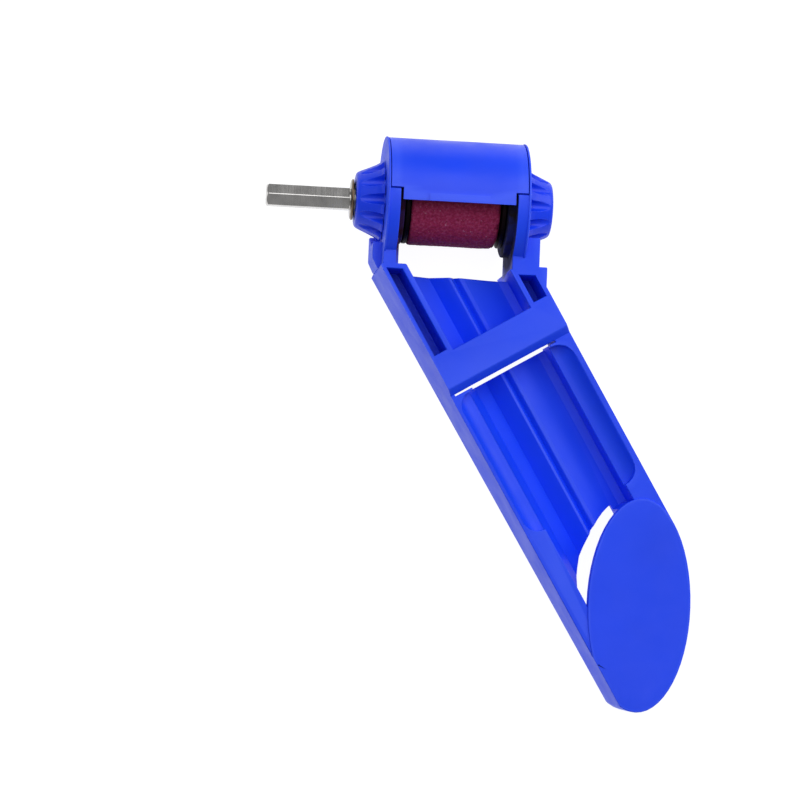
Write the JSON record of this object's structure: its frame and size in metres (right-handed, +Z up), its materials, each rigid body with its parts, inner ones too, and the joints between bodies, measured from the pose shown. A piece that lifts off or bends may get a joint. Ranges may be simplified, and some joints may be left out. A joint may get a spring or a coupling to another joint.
{
  "type": "drill bit sharpener",
  "caption": "Hand-held drill bit sharpener: a grinding wheel on a drill-driven spindle under a swinging guard, at the head of a V-grooved, slanted handle tray with a thumb pad.",
  "frame": {"origin": "bottom centre of the whole, on the surface that it lies on", "axes": "+X along the wheel's axis, away from the drive shank; +Y from the handle to the head; +Z up"},
  "size_m": [0.1308, 0.1686, 0.0391],
  "materials": {
    "handle_plastic": "moulded blue ABS, satin gloss",
    "guard_plastic": "moulded blue ABS, satin gloss",
    "cap_plastic": "moulded blue ABS, satin gloss",
    "corundum": "coarse vitrified dark red corundum grit",
    "shaft_steel": "ground and bright",
    "collar_steel": "polished",
    "bearing_steel": "polished",
    "shield_steel": "pressed",
    "spring_steel": "blackened spring steel",
    "sleeve_steel": "turned",
    "flange_steel": "black oxide, dusty"
  },
  "bodies": {
    "handle": {"handle_body": "handle_plastic"},
    "guard": {"wheel_guard": "guard_plastic"},
    "spindle": {"spindle_shaft": "shaft_steel", "grinding_wheel": "corundum", "wheel_sleeve": "sleeve_steel", "clamp_flange_left": "flange_steel", "clamp_flange_right": "flange_steel", "lock_washer": "spring_steel", "clamp_nut": "shaft_steel", "spacer_washer": "shaft_steel", "drive_collar": "collar_steel", "bearing_inner_ring_left": "bearing_steel", "bearing_inner_ring_right": "bearing_steel", "retaining_ring_left": "spring_steel", "retaining_ring_right": "spring_steel"},
    "cage_left": {"bearing_ball_cage_left": "bearing_steel"},
    "cage_right": {"bearing_ball_cage_right": "bearing_steel"},
    "cap_left": {"bearing_cap_left": "cap_plastic", "bearing_outer_ring_left": "bearing_steel", "bearing_outer_shield_left": "shield_steel", "bearing_inner_shield_left": "shield_steel"},
    "cap_right": {"bearing_cap_right": "cap_plastic", "bearing_outer_ring_right": "bearing_steel", "bearing_outer_shield_right": "shield_steel", "bearing_inner_shield_right": "shield_steel"}
  },
  "joints": [
    {"name": "guard_swing", "type": "hinge", "parent": "handle", "child": "guard", "pos_m": [-0.00935, 0.06495, 0.0194], "axis": [-1, 0, 0], "range_deg": [0, 38]},
    {"name": "spindle_spin", "type": "hinge", "parent": "handle", "child": "spindle", "pos_m": [-0.00935, 0.06495, 0.0194], "axis": [1, 0, 0], "continuous": true},
    {"name": "cage_left_spin", "type": "hinge", "parent": "handle", "child": "cage_left", "pos_m": [-0.00935, 0.06495, 0.0194], "axis": [1, 0, 0], "continuous": true},
    {"name": "cage_right_spin", "type": "hinge", "parent": "handle", "child": "cage_right", "pos_m": [-0.00935, 0.06495, 0.0194], "axis": [1, 0, 0], "continuous": true},
    {"name": "cap_left_unscrew", "type": "hinge", "parent": "handle", "child": "cap_left", "pos_m": [-0.00935, 0.06495, 0.0194], "axis": [-1, 0, 0], "range_deg": [0, 900]},
    {"name": "cap_right_unscrew", "type": "hinge", "parent": "handle", "child": "cap_right", "pos_m": [-0.00935, 0.06495, 0.0194], "axis": [1, 0, 0], "range_deg": [0, 900]}
  ],
  "couplings": [
    {"joint": "cage_left_spin", "follows": "spindle_spin", "ratio": 0.3954},
    {"joint": "cage_right_spin", "follows": "spindle_spin", "ratio": 0.3954}
  ]
}
